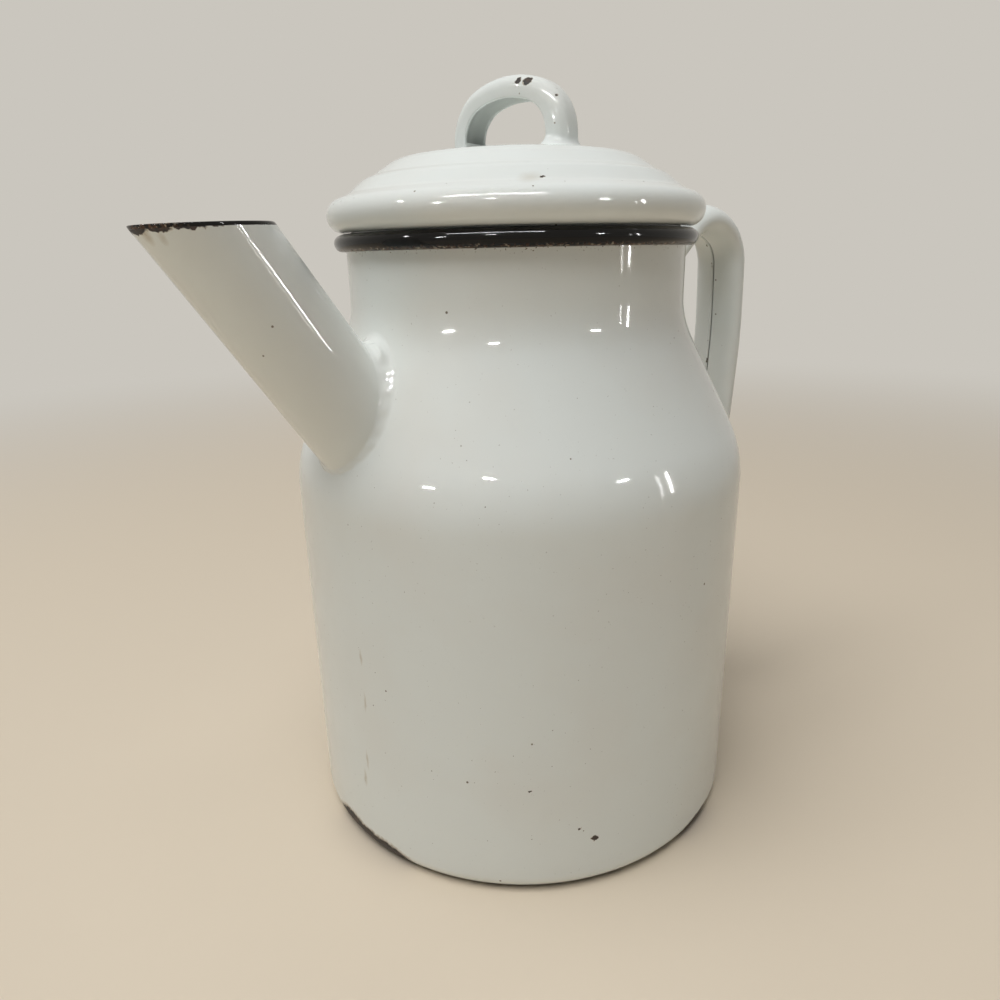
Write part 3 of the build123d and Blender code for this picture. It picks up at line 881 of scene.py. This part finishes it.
# Half-round outside (+y) and flatter inside of the strap, set in by a distance
def strapSide(inset, start, end, count):
    angles = np.radians(np.linspace(start, end, count + 1))
    rise = np.where(np.sin(angles) > 0, handle["outerRise"], handle["innerRise"])
    half = handle["width"] / 2
    return [*zip((half - inset) * np.cos(angles), (rise - inset) * np.sin(angles))]


# The strap's section as one loop: round outside, back inside, both edges rounded at the seam
def strapSection():
    edge = handle["sheet"] / 2
    half, edgeX, edgeY = handle["width"] / 2, handle["seam"] / 2 + edge, edge - handle["innerRise"]
    outHalf = math.degrees(math.asin(edgeX / half))
    inHalf = math.degrees(math.asin(edgeX / (half - handle["sheet"])))
    outSteps, inSteps = handle["sectionSteps"]
    outer = strapSide(0, -90 + outHalf, 270 - outHalf, outSteps)
    inner = strapSide(handle["sheet"], 270 - inHalf, -90 + inHalf, inSteps)
    leftEdge = arcPoints((-edgeX, edgeY), edge, -90, 180, 30)[1:-1]
    rightEdge = arcPoints((edgeX, edgeY), edge, 90, 180, 30)[1:-1]
    return outer + leftEdge + inner + rightEdge


handleTube = sweep("handleTube", [(x, 0, z) for x, z in handlePath], strapSection(), (0, 1, 0), handleWhite)


# Slides the ring at an end of a tube along its run until it lies in the middle of the pot's wall
def seatEnd(piece, end, along, near=0.05, reach=6.0):
    mesh = piece.data
    places = np.zeros(len(mesh.vertices) * 3)
    mesh.vertices.foreach_get("co", places)
    places = places.reshape(-1, 3) / mm
    ring = np.abs((places - end) @ along) < near
    ring &= np.linalg.norm(places - end, axis=1) < handle["width"]
    out = np.broadcast_to(along, (int(ring.sum()), 3))
    slid = slideTo(lambda p: potSurface(p)[0] + midWall, places[ring], out, reach)
    places[ring] += out * slid[:, None]
    mesh.vertices.foreach_set("co", (places * mm).ravel())
    mesh.update()


# The end of a path in the XZ plane and the direction of its run
def pathEnd(first, second):
    start, after = np.array((first[0], 0, first[1])), np.array((second[0], 0, second[1]))
    return start, unit(after - start)


topEnd, topAlong = pathEnd(handlePath[0], handlePath[1])
footEnd, footAlong = pathEnd(handlePath[-1], handlePath[-2])
seatEnd(handleTube, topEnd, topAlong)
seatEnd(handleTube, footEnd, footAlong)
dress(handleTube, handleWhite, "pot", "white_enamel", "handle_tube")


# Weld round an end of the handle, whose outside of the bend points along up
def handleWeld(name, end, along, up, node):
    angles = np.linspace(0, math.tau, handle["weldSteps"], endpoint=False)
    rise = np.where(np.sin(angles) > 0, handle["outerRise"], handle["innerRise"])
    half = handle["width"] / 2
    side = np.array((0, 1, 0))
    points = end + (half * np.cos(angles))[:, None] * side + (rise * np.sin(angles))[:, None] * up
    outward = unit((np.cos(angles) / half)[:, None] * side + (np.sin(angles) / rise)[:, None] * up)
    along = np.broadcast_to(along, points.shape)
    weld = rolledWeld(name, potSurface, points, along, outward, handle["fillet"], steps=12)
    dress(weld, weldWhite, "pot", "white_enamel", node)


handleWeld("handleTopWeld", topEnd, topAlong, np.cross(topAlong, (0, 1, 0)), "handle_top_joint")
handleWeld("handleFootWeld", footEnd, footAlong, -np.cross(footAlong, (0, 1, 0)), "handle_foot_joint")
print("handle swept and welded")


# Lid, pressed with two rings, its edge rolled under

lidLow, lidHigh = boxOf("lid_dome")
lid = {
    "sheet": 1.0,
    "edge": 4.15,
    "edgeStart": 68.5,
    "edgeEnd": -100.0,
    "lipLean": 80.0,  # from upright, of the lip under the edge
    "domeReach": 31.0,
    "domeDrop": 2.7,
    "rings": ((-12.6, 12.4), (-7.9, 9.3), (-5.5, 8.4), (-1.5, 5.05)),  # from the edge's centre
    "ringRadii": (5.0, 5.5, 4.6, 5.5),
    "collar": 43.5,
    "steps": 240,
}
edgeCentre = np.array((lidHigh[1] - lid["edge"], lidLow[2] + lid["edge"]))
crownZ = lidHigh[2]
domeR = (lid["domeReach"] ** 2 + lid["domeDrop"] ** 2) / (2 * lid["domeDrop"])
domeTurn = math.degrees(math.asin(lid["domeReach"] / domeR))
dome = arcPoints((0, crownZ - domeR), domeR, 90, -domeTurn, 0.4)
edge = arcPoints(edgeCentre, lid["edge"], lid["edgeStart"], lid["edgeEnd"] - lid["edgeStart"], 4)
ringCorners = [edgeCentre + np.array(step) for step in lid["rings"]]
pressed = roundedPath([dome[-1], *ringCorners, edge[0]], lid["ringRadii"], run=0.6, step=2)
lidOutside = [*dome, *pressed[1:], *edge[1:]]
lipLean = math.radians(lid["lipLean"])
lipRun = np.array((-math.sin(lipLean), math.cos(lipLean)))
lipStart = np.array(edge[-1])
lipEnd = lipStart + lipRun * (lipStart[0] - lid["collar"]) / -lipRun[0]
lidOutside.append(lipEnd)
along = unit(np.gradient(np.array(lidOutside), axis=0))
lidInside = np.array(lidOutside) + np.stack((along[:, 1], -along[:, 0]), 1) * lid["sheet"]
lidInside[0] = (0, crownZ - lid["sheet"])
lidInside[-1] = lipEnd + np.array((0, lid["sheet"]))
lidDome = turn("lidDome", [*lidOutside, *lidInside[::-1]], lidWhite, lid["steps"])
dress(lidDome, lidWhite, "lid", "white_enamel", "lid_dome")

collarLow, collarHigh = boxOf("lid_collar")
collarIn, edgeR = lid["collar"] - lid["sheet"], lid["sheet"] / 2
collarSide = [(collarIn, collarHigh[2])]
collarSide += arcPoints((lid["collar"] - edgeR, collarLow[2] + edgeR), edgeR, 180, 180, 30)
collarSide += [(lid["collar"], collarHigh[2]), (collarIn, collarHigh[2])]
lidCollar = turn("lidCollar", collarSide, lidWhite)
dress(lidCollar, lidWhite, "lid", "white_enamel", "lid_collar")
print("lid turned")


# Grip, a channel bent into an arch, open towards the inside of the arch

grip = {
    "turn": 101.6,
    "halfSpan": 12.8,
    "rise": 11.6,
    "width": 9.0,
    "depth": 5.5,
    "sheet": 1.0,
    "corner": 8.0,
    "cornerTurn": 70.0,
    "back": 3.4,
    "edge": 0.45,
    "rootDepth": 1.2,  # below the lid's top
    "fillet": 2.9,
    "filletEdge": 0.6,  # radius of the weld's plan at the channel's edges
}
gripTurn = math.radians(grip["turn"])
gripAlong = np.array((math.cos(gripTurn), math.sin(gripTurn), 0))
gripSide = np.array((-math.sin(gripTurn), math.cos(gripTurn), 0))
halfSpan, corner, cornerTurn = grip["halfSpan"], grip["corner"], grip["cornerTurn"]
archTop = crownZ + grip["rise"]
cornerIn = halfSpan - corner
topR = corner + cornerIn / math.cos(math.radians(cornerTurn))
springZ = archTop - topR + (topR - corner) * math.sin(math.radians(cornerTurn))
archFoot = crownZ - grip["rootDepth"]
arch = [(-halfSpan, archFoot), *arcPoints((-cornerIn, springZ), corner, 180, -cornerTurn, 4)]
arch += arcPoints((0, archTop - topR), topR, 180 - cornerTurn, 2 * cornerTurn - 180, 2)[1:]
arch += [*arcPoints((cornerIn, springZ), corner, cornerTurn, -cornerTurn, 4)[1:], (halfSpan, archFoot)]
gripPath = [gripAlong * x + np.array((0, 0, z)) for x, z in arch]


# The channel's section: y points out of the arch, its rounded back outside
def channelSection():
    half, deep, wall = grip["width"] / 2, grip["depth"], grip["sheet"]
    edge, back = grip["edge"], grip["back"]
    corners = [(half, 0), (half, deep), (-half, deep), (-half, 0)]
    half, deep = half - wall, deep - wall
    corners += [(-half, 0), (-half, deep), (half, deep), (half, 0)]
    radii = [edge, back, back, edge, edge, back - wall, back - wall, edge]
    middle = (grip["width"] / 2, grip["depth"] / 4)
    corners = [middle, *corners[1:], corners[0], middle]
    return roundedPath(corners, [*radii[1:], radii[0]], run=1.0, step=12)[:-1]


lidGrip = sweep("lidGrip", gripPath, channelSection(), tuple(gripSide), gripWhite)
dress(lidGrip, gripWhite, "lid", "white_enamel", "lid_loop")

lidSurface = turnedDistance([(r, z) for r, z in lidOutside[::-1]])


# Welds at both feet of the grip, as one piece
def gripFeet():
    half, deep = grip["width"] / 2, grip["depth"]
    middle = (half, deep / 4)
    corners = [middle, (half, deep), (-half, deep), (-half, 0), (half, 0), middle]
    radii = [grip["back"]] * 2 + [grip["filletEdge"]] * 2
    loop = roundedPath(corners, radii, run=0.6, step=8)[:-1]
    run = unit(np.roll(loop, -1, 0) - np.roll(loop, 1, 0))
    flat = np.stack((run[:, 1], -run[:, 0]), 1)
    feet = []
    for hand in (1, -1):
        outAlong = gripAlong * hand
        start = outAlong * halfSpan + np.array((0, 0, crownZ))
        points = start + loop[:, 1:] * outAlong + loop[:, :1] * gripSide
        outward = flat[:, 1:] * outAlong + flat[:, :1] * gripSide
        along = np.broadcast_to(np.array((0.0, 0, 1)), points.shape)
        edges = (points, along, outward, grip["fillet"])
        feet.append(rolledWeld("foot", lidSurface, *edges, steps=10, tuck=0.4))
    with bpy.context.temp_override(active_object=feet[0], selected_editable_objects=feet):
        bpy.ops.object.join()
    feet[0].name = "gripWelds"
    return feet[0]


gripWelds = gripFeet()
dress(gripWelds, weldWhite, "lid", "white_enamel", "loop_joints")
print("grip bent and welded")


# Floor, world, lamps and camera

studio = {
    "floor": "#D6C9B5",
    "floorRoughness": 0.6,
    "backdrop": "#CAC6BE",
    "fill": 0.10,
    "floorRadius": 2400.0,
    "fade": (240.0, 1000.0),  # where the floor passes into the backdrop: no horizon shows
}


# Share of rays that see the backdrop: camera, glossy and transmission
def shownRays(tree):
    rays = addNode(tree, "ShaderNodeLightPath").outputs
    shown = rays["Is Camera Ray"]
    for kind in ("Is Glossy Ray", "Is Transmission Ray"):
        shown = addNode(tree, "ShaderNodeMath", (shown, rays[kind]), operation="ADD")
    return addNode(tree, "ShaderNodeMath", (shown, 1.0), operation="MINIMUM")


# Painted studio floor, matt and even
def addFloor():
    points = arcPoints((0, 0), studio["floorRadius"], 0, 360, 5)[:-1]
    floor = newObject("floor", meshOf("floor", [(x, y, 0) for x, y in points], (), [range(len(points))]))
    made, tree = newMaterial("floorCard")
    paint = {"Base Color": linear(studio["floor"]), "Roughness": studio["floorRoughness"]}
    shader = addNode(tree, "ShaderNodeBsdfPrincipled", paint)
    flat = addNode(tree, "ShaderNodeEmission", {"Color": linear(studio["backdrop"])})
    away = addNode(tree, "ShaderNodeVectorMath", [placeOf(tree)], operation="LENGTH").outputs["Value"]
    fade = (away, *studio["fade"])
    far = addNode(tree, "ShaderNodeMapRange", fade, interpolation_type="SMOOTHSTEP")
    share = addNode(tree, "ShaderNodeMath", (far, shownRays(tree)), operation="MULTIPLY")
    mixed = addNode(tree, "ShaderNodeMixShader", {0: share, 1: shader, 2: flat})
    addNode(tree, "ShaderNodeOutputMaterial", {"Surface": mixed})
    floor.data.materials.append(made)


def addWorld():
    world = bpy.data.worlds.new("studio")
    world.use_nodes = True
    tree = world.node_tree
    tree.nodes.clear()
    fill = addNode(tree, "ShaderNodeBackground", {"Color": (1, 1, 1, 1), "Strength": studio["fill"]})
    seen = addNode(tree, "ShaderNodeBackground", {"Color": linear(studio["backdrop"]), "Strength": 1.0})
    mixed = addNode(tree, "ShaderNodeMixShader", {0: shownRays(tree), 1: fill, 2: seen})
    addNode(tree, "ShaderNodeOutputWorld", {"Surface": mixed})
    bpy.context.scene.world = world


# Lamps: degrees round from +X, degrees up, distance, width, height, watts and roll. The first gives all
# the soft light; the others are only seen as glints in the glaze and light nothing.
lamps = {
    "overhead": (-178, 73, 1500, 1300, 1300, 25.8, 0),
    "windowLow": (-176, 19, 1200, 120, 14, 3.0, 0),
    "windowHigh": (-147, 32, 1200, 110, 10, 2.2, 0),
    "bulbRight": (-80, 20, 1200, 110, 12, 2.6, 0),
    "bulbLeft": (155, 32, 1200, 50, 24, 1.6, 0),
    "stripRight": (-56, 8.6, 1200, 17, 300, 1.6, 0),
    "stripFar": (-62, 8, 1200, 8, 316, 0.3, 0),
    "tube": (-148, 56, 1300, 1100, 14, 14.0, 8),
}
aimHeight = 110.0


def addLamps():
    for name, (bearing, up, distance, width, height, power, roll) in lamps.items():
        light = bpy.data.lights.new(name, "AREA")
        light.shape = "RECTANGLE"
        light.size, light.size_y = width * mm, height * mm
        light.energy = power
        lamp = newObject(name, light)
        heading, lift = math.radians(bearing), math.radians(up)
        level = math.cos(lift)
        out = Vector((level * math.cos(heading), level * math.sin(heading), math.sin(lift)))
        at = Matrix.Translation((out * distance + Vector((0, 0, aimHeight))) * mm)
        aim = out.to_track_quat("Z", "Y").to_matrix().to_4x4()
        lamp.matrix_world = at @ aim @ Matrix.Rotation(math.radians(roll), 4, "Z")
        lamp.visible_camera = False
        lamp.visible_glossy = name != "overhead"
        lamp.visible_diffuse = name == "overhead"


# Camera solved from the photograph's ellipses and verticals
view = {"place": (-143.39, -159.26, 156.18), "turn": -40.5, "tilt": 71.85, "roll": -1.21, "lens": 26.928}


def addCamera():
    data = bpy.data.cameras.new("camera")
    data.lens = view["lens"]
    data.sensor_width = 36.0
    data.clip_start = 0.01
    camera = newObject("camera", data)
    placed = Matrix.Translation(Vector(view["place"]) * mm)
    for angle, axis in ((view["turn"], "Z"), (view["tilt"], "X"), (view["roll"], "Z")):
        placed = placed @ Matrix.Rotation(math.radians(angle), 4, axis)
    camera.matrix_world = placed
    bpy.context.scene.camera = camera


addFloor()
addWorld()
addLamps()
addCamera()
bpy.context.scene.view_settings.view_transform = "Standard"
print("studio ready")
